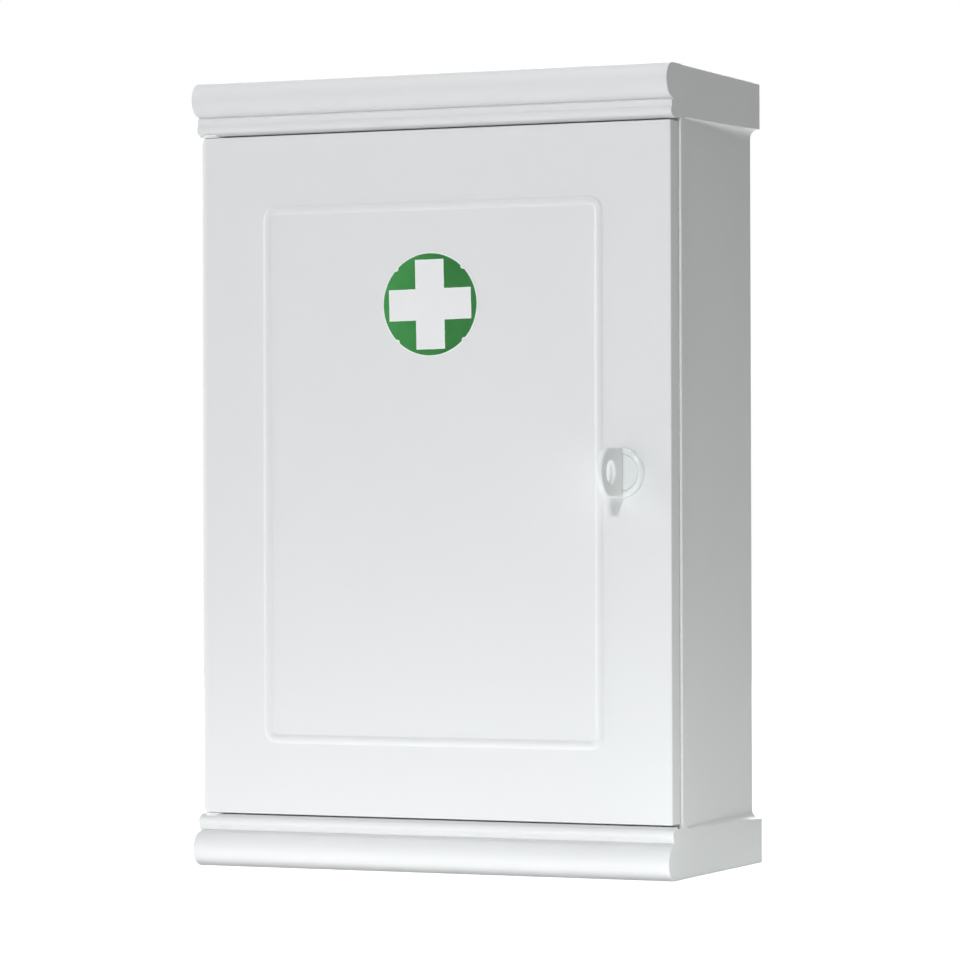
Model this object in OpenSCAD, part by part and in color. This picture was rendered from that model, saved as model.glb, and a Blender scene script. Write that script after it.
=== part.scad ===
/* [Cabinet box] */
// Overall width, across the crown, the base and the front rim
cab_w = 300; // [240:1:380]
// Overall height
cab_h = 460; // [380:1:620]
// Depth of the box from the wall to the front rim
box_d = 128; // [100:1:180]
// Thickness of the moulded walls
wall_t = 3; // [2:0.5:4]
// How far each side leans in between the front band and the wall
side_lean = 5.4; // [4:0.2:8]
// Depth of the band on each side that is flush with the crown
band_d = 7; // [5:0.5:12]
// Step from that band down to the leaning side
band_step = 0.6; // [0.3:0.1:1]
// Height of the crown
crown_h = 30; // [26:1:45]
// Height of the base
base_h = 29; // [26:1:45]
// Radius of the coves under the crown and over the base, at the wall
cove_r = 5; // [4:0.5:5.5]
// Radius of the coves at the front band
cove_front_r = 0.4; // [0.3:0.1:0.6]
// How far the middle line of a cove moves away from the crown or base
cove_drop = 2; // [1:0.5:2.5]
// Width of the flange round the door opening
flange_w = 11; // [9:0.5:14]
// Radius of the four wall screw holes
wall_hole_r = 2.75; // [2:0.25:3.5]
// Distance of the wall screw holes from each side
wall_hole_side = 40; // [35:1:60]
// Distance of the wall screw holes from the top and the bottom
wall_hole_end = 55; // [45:1:70]
// Radius of the pad that thickens the back round a wall screw
pad_r = 8; // [7:0.5:10]
// Height of that pad
pad_h = 2; // [1:0.5:3]

/* [Mouldings] */
// How far the bullnose stands in front of the door
bull_out = 9; // [6:0.5:12]
// Radius of the bullnose
bull_r = 10; // [8:0.5:10]
// How far the neck under the bullnose stands in front of the door
neck_out = 0.8; // [0.4:0.2:2]
// How far the small bead next to the door stands in front of the door
fillet_out = 2.6; // [1:0.2:3]
// Radius of that small bead
fillet_r = 3; // [2:0.25:3.5]
// Wall of the hollow mouldings
mould_t = 2.5; // [2:0.25:3]
// Number of screws that hold each moulding
mould_screws = 4; // [3:1:6]
// Distance of the end screws of a moulding from the side
mould_screw_side = 40; // [35:1:60]

/* [Door] */
// Thickness of the door
door_t = 12; // [10:0.5:16]
// Gap between the door and the rim behind it
door_gap = 1; // [1:0.1:2]
// Gap between the door and the mouldings above and below it
door_clear = 2.2; // [1.8:0.1:3]
// How far the rim shows beside the door
door_reveal = 1.2; // [0.8:0.1:2]
// How far the soft front edge on the hinge side stands out of the round stile
door_edge_out = 0.8; // [0.4:0.1:0.9]
// Thickness of the door's front skin
skin_t = 2.5; // [2:0.25:3.5]
// Thickness of the door's edge walls
edge_t = 3; // [2:0.5:4]
// Distance of the raised frame line from the door's edges
line_inset = 41.5; // [30:0.5:50]
// Width of the raised frame line
line_w = 5; // [3:0.5:6]
// Height of the raised frame line
line_h = 1.2; // [0.8:0.1:1.5]
// Outer corner radius of the raised frame line
line_r = 8; // [6:0.5:16]
// Thickness of the liner that closes the door's back
liner_t = 2; // [2:0.25:3]
// Radius of the round sticker
sticker_r = 30; // [20:1:32]
// Thickness of the sticker
sticker_t = 0.3; // [0.2:0.1:0.4]
// Distance of the sticker's centre from the door's top edge
sticker_down = 100.8; // [90:0.2:130]
// Largest angle that the hinge is built for, in degrees
door_open = 120; // [90:5:120]

/* [Hinge] */
// Radius of the hinge pins
pin_r = 2; // [1.5:0.25:2.5]
// Length of pin inside the door
pin_in_door = 14; // [10:1:25]
// Length of pin inside its bush
pin_in_bush = 7; // [5:0.5:9]
// Outer radius of the bushes
bush_r = 3.5; // [3.25:0.25:4]
// Length of a bush inside its moulding
bush_l = 8; // [6:0.5:11]
// Width of the solid end of a moulding that holds the bush
bush_block = 16; // [14:1:24]
// Radial running clearance of a hinge pin
pin_clear = 0.05; // [0.02:0.01:0.1]
// End clearance between the door and the bush flanges
thrust_clear = 0.2; // [0.1:0.05:0.4]

/* [Lock] */
// Distance of the lock from the door's free edge
lock_inset = 30.3; // [28:0.1:40]
// Radius of the lock's round face
lock_r = 14.2; // [12:0.2:15]
// Width of the raised ring round the face
lock_ring_w = 3.5; // [2.5:0.25:4]
// How far the ring stands in front of the door
lock_proud = 3; // [2.5:0.25:4]
// Thickness of the flange under the barrel's head
lock_flange_t = 1.2; // [1:0.1:1.5]
// Outer radius of the housing in the door
housing_r = 9.5; // [9:0.25:10]
// Radius of the barrel
barrel_r = 6.5; // [6:0.25:7]
// Radial clearance of the barrel in the housing
barrel_clear = 0.05; // [0.02:0.01:0.1]
// Side of the square that drives the cam
drive_w = 7; // [6:0.25:8]
// Thickness of the cam
cam_t = 2; // [1.5:0.25:3]
// Width of the cam's arm
cam_w = 12; // [9:0.5:14]
// Clearance between the keeper and the cam
cam_clear = 1; // [0.5:0.1:1.5]
// Clearance between the cam's tip and the cabinet's side
cam_tip_clear = 1; // [0.6:0.1:2]
// Thickness of the lock nut
nut_t = 3.5; // [2.5:0.25:3.5]
// Width of the lock nut across its flats
nut_af = 24; // [22:1:26]
// Sheet thickness of the keeper clip
keeper_t = 0.6; // [0.4:0.1:0.8]
// Height of the keeper clip
keeper_h = 36; // [30:1:60]

/* [Key] */
// Height of the key's bow
bow_h = 28; // [22:0.5:32]
// How far the bow reaches from the lock face
bow_out = 30.5; // [24:0.5:36]
// Thickness of the bow
bow_t = 3.7; // [3:0.1:4.5]
// Radius of the hole in the bow
bow_hole_r = 6.5; // [4:0.25:7]
// Height of the blade
blade_h = 7; // [6:0.25:8]
// Thickness of the blade
blade_t = 2.2; // [1.8:0.1:2.6]
// Clearance round the blade in the keyway
blade_clear = 0.15; // [0.1:0.05:0.3]
// Gap between the bow and the lock's ring
bow_gap = 0.3; // [0.2:0.1:0.6]

/* [Shelves] */
// Height of the lower shelf's top above the bottom of the cabinet
lower_shelf_up = 155; // [90:1:200]
// Height of the upper shelf's top above the bottom of the cabinet
upper_shelf_up = 300; // [230:1:300]
// Thickness of a shelf
shelf_t = 3; // [2.5:0.5:4]
// Distance from the front rim back to the shelf's front edge
shelf_setback = 16; // [14:1:30]
// Clearance between a shelf and the cabinet
shelf_clear = 0.5; // [0.3:0.1:1]
// Height of the lip above the shelf
lip_up = 8; // [4:1:14]
// Depth of the lip below the shelf
lip_down = 6; // [5:1:10]
// Thickness of the lip
lip_t = 2.5; // [2:0.5:3]
// Width of the ledges that carry a shelf
ledge_w = 8; // [6:0.5:12]
// Thickness of the ledges
ledge_t = 3; // [2:0.5:4]
// Number of ribs under a shelf
shelf_ribs = 5; // [3:1:7]

/* [Fasteners and buffers] */
// Radius of a moulding screw
screw_r = 1.7; // [1.4:0.1:2]
// Radius of a moulding screw's head
screw_head_r = 3.2; // [2.8:0.1:3.6]
// Thickness of a moulding screw's head
screw_head_t = 2; // [1.5:0.25:2.5]
// Length of a moulding screw in its boss
screw_grip = 8; // [6:0.5:9]
// Radius of a liner screw
liner_screw_r = 1.5; // [1.2:0.1:1.7]
// Radius of a liner screw's countersunk head
liner_head_r = 3; // [2.6:0.1:3.4]
// Distance of the liner screws from the door's edges
liner_screw_in = 25; // [20:1:30]
// Number of liner screws on each side
liner_screw_n = 4; // [4:2:8]
// Radius of a door buffer
buffer_r = 4; // [2.5:0.5:4.5]
// Thickness of a door buffer
buffer_t = 0.8; // [0.5:0.1:0.8]
// Distance of the buffers from the ends of the door
buffer_end = 50; // [30:1:80]

/* [Hidden] */

// A seat where one still piece sits in another has this much room all round
seat_clear = 0.03;
// A screw has this much room all round in the wall that it clamps
pass_clear = 0.2;
// A blind hole is this much deeper than what goes into it
hole_end = 0.5;
// Cuts run this far past the face that they open
past = 1;
// A rib, pad or shank starts this far inside the body that it grows from
root = 0.6;
// Wall of a screw boss round its hole
boss_wall = 2.3;
// Number of facets in a round
fine = 64;

half_w = cab_w / 2;
half_h = cab_h / 2;
rim_y = -box_d;
band_y = rim_y + band_d;
flange_back_y = rim_y + wall_t;
crown_z = half_h - crown_h;
base_z = -half_h + base_h;
lean_top_x = half_w - band_step;
crown_screw_z = half_h - crown_h / 2;
base_screw_z = -half_h + base_h / 2;

// The door, and the line that it turns about
door_back_y = rim_y - door_gap;
door_front_y = door_back_y - door_t;
door_x = half_w - door_reveal;
door_low_z = base_z + door_clear;
door_top_z = crown_z - door_clear;
door_len = door_top_z - door_low_z;
door_mid_z = (door_low_z + door_top_z) / 2;
stile_r = door_t / 2;
door_edge_r = stile_r - door_edge_out / (sqrt(2) - 1);
pivot_x = -door_x + stile_r;
pivot_y = door_back_y - stile_r;
stile_in_x = -door_x + door_t;
liner_front_y = door_back_y - liner_t;

// Centres of the bullnose and the bead, and the face of the neck between them
bull_y = door_front_y - bull_out + bull_r;
bead_y = door_front_y - fillet_out + fillet_r;
neck_y = door_front_y - neck_out;

// The opening that the door covers
open_x = half_w - flange_w;
open_low_z = base_z + flange_w;
open_top_z = crown_z - flange_w;

// The lock, measured from its axis and from the door's front
lock_x = door_x - lock_inset;
lock_z = door_mid_z;
ring_front_y = door_front_y - lock_proud;
ring_in_r = lock_r - lock_ring_w;
keeper_back_y = flange_back_y + keeper_t;
cam_front_y = keeper_back_y + cam_clear;
cam_back_y = cam_front_y + cam_t;
housing_cam_gap = 0.4;
housing_back_y = cam_front_y - housing_cam_gap;
cam_reach = side_in_x(cam_back_y) - cam_tip_clear - lock_x;
drive_corner_r = drive_w / sqrt(2);
washer_t = 0.8;
cam_screw_r = 1.5;
cam_screw_head_r = 3.3;
cam_screw_head_t = 2;
cam_screw_grip = 2;
// The keyway ends this far in front of the cam screw's hole
keyway_wall = 0.6;
blade_end_y = cam_front_y - cam_screw_grip - hole_end - keyway_wall - blade_clear;

// The shelves
shelf_back_y = -wall_t - shelf_clear;
shelf_front_y = rim_y + shelf_setback;
ledge_front_y = shelf_front_y + lip_t + shelf_clear;

// Screws
mould_screw_span = half_w - mould_screw_side;
boss_r = screw_r + boss_wall;
liner_boss_r = liner_screw_r + boss_wall;
// A liner screw ends this far behind the door's skin
liner_screw_stop = 1;
liner_screw_l = door_t - skin_t - liner_screw_stop;

// Outer face of a side at depth y, and its inner face
function side_x(y) = lean_top_x - side_lean * (y - band_y) / -band_y;
function side_in_x(y) = side_x(y) - wall_t;
// Places of n points spread evenly from -span to span
function spread(n, span) = [for (i = [0:n - 1]) -span + 2 * span * i / (n - 1)];

// A drawing in depth and height, drawn out across the cabinet from x0 to x1
module across(x0, x1) {
  translate([x0, 0, 0]) rotate([90, 0, 90]) linear_extrude(x1 - x0) children();
}

// A round bar along the depth, from y0 back to y1
module bar_y(r, y0, y1) {
  translate([0, y1, 0]) rotate([90, 0, 0]) cylinder(h = y1 - y0, r = r, $fn = fine);
}

// A cone along the depth, of radius r0 at y0 and r1 at y1
module cone_y(r0, r1, y0, y1) {
  translate([0, y1, 0]) rotate([90, 0, 0]) cylinder(h = y1 - y0, r1 = r1, r2 = r0, $fn = fine);
}

// A cone of radius r0 at p0 and r1 at p1
module cone_between(p0, r0, p1, r1) {
  v = p1 - p0;
  translate(p0)
    rotate([0, acos(v.z / norm(v)), atan2(v.y, v.x)])
      cylinder(h = norm(v), r1 = r0, r2 = r1, $fn = fine);
}

// The block that overhangs the leaning sides, with a cove under each overhang
module overhang(h) {
  off_side = 0.1;
  front = [lean_top_x + off_side + cove_front_r, band_y, 0];
  rear = [side_x(0) + off_side + cove_r, 0, -cove_drop];
  grow = (cove_r - cove_front_r) / -band_y;
  step = (rear - front) / -band_y;
  difference() {
    translate([-half_w, band_y, 0]) cube([cab_w, -band_y, h]);
    for (s = [0, 1]) mirror([s, 0, 0])
      cone_between(front - step, cove_front_r - grow, rear + step, cove_r + grow);
  }
}

// The outline of a side wall seen from above, moved in by t
module lean_plan(t, y0, y1) {
  polygon([
    [-side_x(y0) + t, y0], [side_x(y0) - t, y0],
    [side_x(y1) - t, y1], [-side_x(y1) + t, y1]
  ]);
}

// A ledge along one side for a shelf whose top is at z
module ledge(z) {
  translate([0, 0, z - shelf_t - ledge_t]) linear_extrude(ledge_t)
    polygon([
      [side_in_x(ledge_front_y) + root, ledge_front_y],
      [side_in_x(ledge_front_y) - ledge_w, ledge_front_y],
      [side_in_x(-wall_t) - ledge_w, -wall_t + root],
      [side_in_x(-wall_t) + root, -wall_t + root]
    ]);
}

// Everything that is the same at the four wall screws
module at_wall_holes() {
  for (sx = [-1, 1], sz = [-1, 1])
    translate([sx * (half_w - wall_hole_side), 0, sz * (half_h - wall_hole_end)]) children();
}

// The row of screws that holds a moulding at height z
module at_mould_screws(z) {
  for (x = spread(mould_screws, mould_screw_span)) translate([x, 0, z]) children();
}

module carcass_shell() {
  wide_low = cove_r - cove_drop + wall_t;
  color("white") difference() {
    union() {
      difference() {
        union() {
          translate([-half_w, rim_y, -half_h]) cube([cab_w, band_d, cab_h]);
          translate([0, 0, -half_h]) linear_extrude(cab_h) lean_plan(0, band_y, 0);
          translate([0, 0, crown_z]) overhang(crown_h);
          translate([0, 0, base_z]) mirror([0, 0, 1]) overhang(base_h);
        }
        // the room inside, wider in the crown and in the base
        translate([0, 0, -half_h + wall_t]) linear_extrude(cab_h - 2 * wall_t)
          lean_plan(wall_t, flange_back_y, -wall_t);
        translate([-half_w + wall_t, flange_back_y, crown_z + wide_low])
          cube([cab_w - 2 * wall_t, box_d - 2 * wall_t, crown_h - wide_low - wall_t]);
        translate([-half_w + wall_t, flange_back_y, -half_h + wall_t])
          cube([cab_w - 2 * wall_t, box_d - 2 * wall_t, base_h - wide_low - wall_t]);
        // the opening in the front
        translate([-open_x, rim_y - past, open_low_z])
          cube([2 * open_x, wall_t + 2 * past, open_top_z - open_low_z]);
      }
      for (h = [lower_shelf_up, upper_shelf_up], s = [0, 1]) mirror([s, 0, 0]) ledge(-half_h + h);
      at_wall_holes() bar_y(pad_r, -wall_t - pad_h, -wall_t + root);
    }
    at_wall_holes() bar_y(wall_hole_r, -wall_t - pad_h - past, past);
    for (z = [crown_screw_z, base_screw_z])
      at_mould_screws(z) bar_y(screw_r + pass_clear, rim_y - past, flange_back_y + past);
  }
}

// The section of a moulding in depth and height, standing on the line z = 0:
// a bullnose, a neck and a small bead next to the door
module mould_section(h) {
  translate([bull_y, bull_r]) circle(r = bull_r, $fn = fine);
  translate([bull_y, 0]) square([rim_y - bull_y, 2 * bull_r]);
  translate([neck_y, bull_r]) square([rim_y - neck_y, h - bull_r - fillet_r]);
  translate([bead_y, h - 2 * fillet_r]) square([rim_y - bead_y, 2 * fillet_r]);
  translate([bead_y, h - fillet_r]) circle(r = fillet_r, $fn = fine);
}

// The hollow in that section, open at the rim
module mould_hollow(h) {
  hollow_r = bull_r - mould_t;
  hollow_y = max(bull_y, neck_y + mould_t);
  back_y = rim_y + past;
  translate([bull_y, bull_r]) circle(r = hollow_r, $fn = fine);
  translate([bull_y, bull_r - hollow_r]) square([back_y - bull_y, 2 * hollow_r]);
  translate([hollow_y, mould_t]) square([back_y - hollow_y, h - 2 * mould_t]);
}

// A hollow moulding across the front, with a solid end for the hinge bush
module moulding(h) {
  difference() {
    across(-half_w, half_w) mould_section(h);
    difference() {
      across(-half_w + bush_block, half_w - mould_t) mould_hollow(h);
      at_mould_screws(h / 2) bar_y(boss_r, bull_y - bull_r, rim_y + 2 * past);
    }
    at_mould_screws(h / 2) bar_y(screw_r + seat_clear, rim_y - screw_grip - hole_end, rim_y + past);
    translate([pivot_x, pivot_y, h - bush_l - seat_clear])
      cylinder(h = bush_l + past, r = bush_r + seat_clear, $fn = fine);
  }
}

module cornice() {
  color("white") translate([0, 0, half_h]) mirror([0, 0, 1]) moulding(crown_h);
}

module plinth() {
  color("white") translate([0, 0, -half_h]) moulding(base_h);
}

// A pan head screw that holds a moulding from inside the box
module mould_screw() {
  bar_y(screw_r, rim_y - screw_grip, flange_back_y + root);
  bar_y(screw_head_r, flange_back_y, flange_back_y + screw_head_t);
}

module cornice_screws() {
  color("silver") at_mould_screws(crown_screw_z) mould_screw();
}

module plinth_screws() {
  color("silver") at_mould_screws(base_screw_z) mould_screw();
}

// A flat shelf with a lip along its front and ribs under it, top at z = 0
module shelf() {
  x0 = side_in_x(shelf_front_y) - shelf_clear;
  x1 = side_in_x(shelf_back_y) - shelf_clear;
  rib_w = 2;
  rib_h = 4;
  rib_back = 5;
  rib_side = 25;
  rib_span = x1 - ledge_w - rib_side;
  color("whitesmoke") {
    translate([0, 0, -shelf_t]) linear_extrude(shelf_t)
      polygon([[-x0, shelf_front_y], [x0, shelf_front_y], [x1, shelf_back_y], [-x1, shelf_back_y]]);
    translate([-x0, shelf_front_y, -shelf_t - lip_down])
      cube([2 * x0, lip_t, shelf_t + lip_down + lip_up]);
    for (x = spread(shelf_ribs, rib_span))
      translate([x - rib_w / 2, shelf_front_y, -shelf_t - rib_h])
        cube([rib_w, shelf_back_y - shelf_front_y - rib_back, rib_h + root]);
  }
}

module lower_shelf() {
  translate([0, 0, -half_h + lower_shelf_up]) shelf();
}

module upper_shelf() {
  translate([0, 0, -half_h + upper_shelf_up]) shelf();
}

// A sheet clip pushed over the flange, where the cam turns in behind it
module lock_keeper() {
  side_gap = 0.5;
  inner_x = open_x - keeper_t;
  outer_x = side_in_x(flange_back_y) - side_gap;
  color("silver") translate([inner_x, rim_y - keeper_t, lock_z - keeper_h / 2]) {
    cube([outer_x - inner_x, keeper_t, keeper_h]);
    cube([keeper_t, wall_t + 2 * keeper_t, keeper_h]);
    translate([0, wall_t + keeper_t, 0]) cube([outer_x - inner_x, keeper_t, keeper_h]);
  }
}

module door_buffers() {
  color("gray") for (s = [-1, 1])
    translate([half_w - flange_w / 2, 0, door_mid_z + s * (door_len / 2 - buffer_end)])
      bar_y(buffer_r, rim_y - buffer_t, rim_y);
}

// A flanged bush that stands on its moulding at z = 0 and reaches down into it
module bush() {
  flange_t = door_clear - thrust_clear;
  color("ivory") translate([pivot_x, pivot_y, 0]) difference() {
    union() {
      translate([0, 0, -bush_l]) cylinder(h = bush_l + flange_t / 2, r = bush_r, $fn = fine);
      cylinder(h = flange_t, r = stile_r, $fn = fine);
    }
    translate([0, 0, -bush_l - past])
      cylinder(h = bush_l + flange_t + 2 * past, r = pin_r + pin_clear, $fn = fine);
  }
}

module upper_hinge_bush() {
  translate([0, 0, crown_z]) mirror([0, 0, 1]) bush();
}

module lower_hinge_bush() {
  translate([0, 0, base_z]) bush();
}

// A pin fixed in the door's stile at z = 0, reaching down into its bush
module hinge_pin() {
  color("silver") translate([pivot_x, pivot_y, -door_clear - pin_in_bush])
    cylinder(h = pin_in_door + door_clear + pin_in_bush, r = pin_r, $fn = fine);
}

module upper_hinge_pin() {
  translate([0, 0, door_top_z]) mirror([0, 0, 1]) hinge_pin();
}

module lower_hinge_pin() {
  translate([0, 0, door_low_z]) hinge_pin();
}

// The door seen from above: a half round stile, softer at its front edge
module door_plan() {
  front_x = -door_x + door_edge_r;
  translate([pivot_x, pivot_y]) circle(r = stile_r, $fn = fine);
  translate([front_x, door_front_y + door_edge_r]) circle(r = door_edge_r, $fn = fine);
  translate([-door_x, door_front_y + door_edge_r]) square([door_edge_r, stile_r - door_edge_r]);
  translate([front_x, door_front_y]) square([door_x - front_x, stile_r]);
  translate([pivot_x, pivot_y]) square([door_x - pivot_x, stile_r]);
}

// The low round section of the raised line, its base on y = 0
module line_section() {
  r = (line_w * line_w / 4 + line_h * line_h) / (2 * line_h);
  intersection() {
    translate([0, line_h - r]) circle(r = r, $fn = fine);
    translate([-line_w / 2, -root]) square([line_w, line_h + root]);
  }
}

// The raised frame line, lying on the plane z = 0
module frame_line() {
  hw = door_x - line_inset - line_w / 2;
  hh = door_len / 2 - line_inset - line_w / 2;
  r = line_r - line_w / 2;
  for (s = [0, 1]) mirror([s, 0, 0])
    translate([hw, hh - r, 0]) rotate([90, 0, 0]) linear_extrude(2 * (hh - r)) line_section();
  for (s = [0, 1]) mirror([0, s, 0])
    translate([-hw + r, hh, 0]) rotate([90, 0, 90]) linear_extrude(2 * (hw - r)) line_section();
  for (sx = [0, 1], sz = [0, 1]) mirror([sx, 0, 0]) mirror([0, sz, 0])
    translate([hw - r, hh - r, 0]) rotate_extrude(angle = 90, $fn = fine)
      translate([r, 0]) line_section();
}

// The places of the screws that hold the liner
module at_liner_screws() {
  for (sx = [-1, 1], z = spread(liner_screw_n, door_len / 2 - 2 * liner_screw_in))
    translate([sx * (door_x - liner_screw_in), 0, door_mid_z + z]) children();
}

module door_panel() {
  hollow_w = door_x - edge_t - stile_in_x;
  lock_boss_wall = 4;
  color("white") difference() {
    union() {
      difference() {
        translate([0, 0, door_low_z]) linear_extrude(door_len) door_plan();
        translate([stile_in_x, door_front_y + skin_t, door_low_z + edge_t])
          cube([hollow_w, door_t, door_len - 2 * edge_t]);
      }
      translate([0, door_front_y, door_mid_z]) rotate([90, 0, 0]) frame_line();
      at_liner_screws() bar_y(liner_boss_r, door_front_y + skin_t - root, liner_front_y);
      at_lock() bar_y(housing_r + lock_boss_wall, door_front_y + skin_t - root, liner_front_y);
    }
    at_liner_screws()
      bar_y(liner_screw_r + seat_clear, door_back_y - liner_screw_l - hole_end, liner_front_y + past);
    at_lock() bar_y(housing_r + seat_clear, door_front_y - past, liner_front_y + past);
    // the raised line makes room for the lock's ring
    at_lock() bar_y(lock_r + pass_clear, door_front_y - line_h - past, door_front_y);
    for (e = [door_low_z - past, door_top_z - pin_in_door - seat_clear])
      translate([pivot_x, pivot_y, e])
        cylinder(h = pin_in_door + seat_clear + past, r = pin_r + seat_clear, $fn = fine);
  }
}

// The countersunk part of a liner screw, of full radius at the liner's back
module liner_head(more) {
  depth = liner_head_r - liner_screw_r;
  cone_y(liner_screw_r + more, liner_head_r + more, door_back_y - depth, door_back_y);
}

module door_liner() {
  gap = 0.3;
  low = door_low_z + edge_t + gap;
  color("white") difference() {
    translate([stile_in_x + gap, liner_front_y, low])
      cube([door_x - edge_t - stile_in_x - 2 * gap, liner_t, door_len - 2 * edge_t - 2 * gap]);
    at_lock() bar_y(housing_r + seat_clear, liner_front_y - past, door_back_y + past);
    at_liner_screws() {
      liner_head(seat_clear);
      bar_y(liner_screw_r + seat_clear, liner_front_y - past, door_back_y + past);
    }
  }
}

module liner_screws() {
  color("silver") at_liner_screws() {
    liner_head(0);
    bar_y(liner_screw_r, door_back_y - liner_screw_l, door_back_y - root);
  }
}

module cross_sticker() {
  nick_r = 1.2;
  color("seagreen") translate([0, door_front_y, door_top_z - sticker_down])
    rotate([90, 0, 0]) linear_extrude(sticker_t) difference() {
      circle(r = sticker_r, $fn = 96);
      for (a = [45:90:315]) rotate(a) translate([sticker_r, 0]) circle(r = nick_r, $fn = 24);
    }
}

// Everything about the lock turns round this line
module at_lock() {
  translate([lock_x, 0, lock_z]) children();
}

module lock_housing() {
  flange_y = door_front_y - lock_flange_t;
  color("white") at_lock() difference() {
    union() {
      bar_y(lock_r, ring_front_y, door_front_y);
      bar_y(housing_r, door_front_y - root, housing_back_y);
    }
    bar_y(ring_in_r, ring_front_y - past, flange_y);
    bar_y(barrel_r + barrel_clear, ring_front_y - past, housing_back_y + past);
  }
}

module lock_nut() {
  color("silver") at_lock() difference() {
    translate([0, door_back_y + nut_t, 0]) rotate([90, 0, 0])
      cylinder(h = nut_t, r = nut_af / 2 / cos(30), $fn = 6);
    bar_y(housing_r + seat_clear, door_back_y - past, door_back_y + nut_t + past);
  }
}

module lock_barrel() {
  recess = 0.5;
  head_clear = 0.1;
  head_front_y = ring_front_y + recess;
  flange_y = door_front_y - lock_flange_t;
  slot_h = blade_h + 2 * blade_clear;
  slot_t = blade_t + 2 * blade_clear;
  color("gainsboro") at_lock() difference() {
    union() {
      bar_y(ring_in_r - head_clear, head_front_y, flange_y - barrel_clear);
      bar_y(barrel_r, head_front_y + root, cam_front_y);
      translate([-drive_w / 2, cam_front_y - root, -drive_w / 2]) cube([drive_w, cam_t + root, drive_w]);
    }
    translate([-slot_t / 2, head_front_y - past, -slot_h / 2])
      cube([slot_t, blade_end_y + blade_clear - head_front_y + past, slot_h]);
    bar_y(cam_screw_r + seat_clear, cam_front_y - cam_screw_grip - hole_end, cam_back_y + past);
  }
}

// The cam hangs straight down while the lock is open
module lock_cam() {
  square_w = drive_w + 2 * seat_clear;
  tip_r = cam_w / 2;
  hub_wall = 3.3;
  hub_r = drive_corner_r + hub_wall;
  color("silver") at_lock() translate([0, cam_back_y, 0]) rotate([90, 0, 0]) linear_extrude(cam_t)
    difference() {
      union() {
        circle(r = hub_r, $fn = fine);
        translate([-tip_r, tip_r - cam_reach]) square([cam_w, cam_reach - tip_r]);
        translate([0, tip_r - cam_reach]) circle(r = tip_r, $fn = fine);
      }
      square([square_w, square_w], center = true);
    }
}

module cam_washer() {
  grip = 0.65;
  color("silver") at_lock() difference() {
    bar_y(drive_corner_r + grip, cam_back_y, cam_back_y + washer_t);
    bar_y(cam_screw_r + pass_clear, cam_back_y - past, cam_back_y + washer_t + past);
  }
}

module cam_screw() {
  head_y = cam_back_y + washer_t;
  slot_l = 4;
  slot_w = 0.8;
  slot_d = 1;
  color("silver") at_lock() difference() {
    union() {
      bar_y(cam_screw_r, cam_front_y - cam_screw_grip, head_y + root);
      bar_y(cam_screw_head_r, head_y, head_y + cam_screw_head_t);
    }
    for (a = [0, 90]) rotate([0, a, 0])
      translate([-slot_l / 2, head_y + cam_screw_head_t - slot_d, -slot_w / 2])
        cube([slot_l, slot_d + past, slot_w]);
  }
}

// The key stands upright in the barrel, its bow in the plane across the door
module key() {
  bow_y = ring_front_y - bow_gap;
  end_r = bow_h / 2;
  notch_w = 1.6;
  notch_d = 0.8;
  notch_step = 4;
  notch_end = 1.9;
  notch_y = blade_end_y - notch_end - notch_w;
  color("white") at_lock() {
    translate([-bow_t / 2, 0, 0]) rotate([90, 0, 90]) linear_extrude(bow_t) difference() {
      union() {
        translate([bow_y - bow_out + end_r, 0]) circle(r = end_r, $fn = fine);
        translate([bow_y - bow_out + end_r, -end_r]) square([bow_out - end_r, bow_h]);
      }
      translate([bow_y - bow_out + end_r, 0]) circle(r = bow_hole_r, $fn = fine);
    }
    difference() {
      translate([-blade_t / 2, bow_y - root, -blade_h / 2])
        cube([blade_t, blade_end_y - bow_y + root, blade_h]);
      for (i = [0:2])
        translate([-blade_t / 2 - past, notch_y - notch_step * i, blade_h / 2 - notch_d])
          cube([blade_t + 2 * past, notch_w, notch_d + past]);
    }
  }
}

carcass_shell();
cornice();
plinth();
cornice_screws();
plinth_screws();
upper_shelf();
lower_shelf();
lock_keeper();
door_buffers();
upper_hinge_bush();
lower_hinge_bush();
upper_hinge_pin();
lower_hinge_pin();
door_panel();
door_liner();
liner_screws();
cross_sticker();
lock_housing();
lock_nut();
lock_barrel();
lock_cam();
cam_washer();
cam_screw();
key();
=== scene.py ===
import math

import bmesh
import bpy
import numpy as np
from mathutils import Matrix, Vector


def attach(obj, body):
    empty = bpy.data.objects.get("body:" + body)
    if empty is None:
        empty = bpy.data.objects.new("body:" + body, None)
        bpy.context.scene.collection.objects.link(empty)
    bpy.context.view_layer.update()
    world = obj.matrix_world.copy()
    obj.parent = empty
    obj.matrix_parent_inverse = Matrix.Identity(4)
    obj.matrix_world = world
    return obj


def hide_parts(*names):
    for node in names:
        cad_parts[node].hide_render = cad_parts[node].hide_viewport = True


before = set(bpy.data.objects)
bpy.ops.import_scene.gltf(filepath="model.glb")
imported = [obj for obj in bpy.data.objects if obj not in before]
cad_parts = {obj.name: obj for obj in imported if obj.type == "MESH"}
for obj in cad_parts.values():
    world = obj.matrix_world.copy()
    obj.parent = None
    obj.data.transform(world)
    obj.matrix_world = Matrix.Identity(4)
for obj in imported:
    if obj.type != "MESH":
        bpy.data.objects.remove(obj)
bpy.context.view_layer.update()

scene = bpy.context.scene
print("frame loaded, nodes:", len(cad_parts))

fit = 0.03      # how much wider a hole is than what sits in it

# Measures are in millimetres, from the middle of the cabinet's back. An outline is a row of (a, b) points,
# a form is (points, corners of all faces, corners per face).


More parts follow.
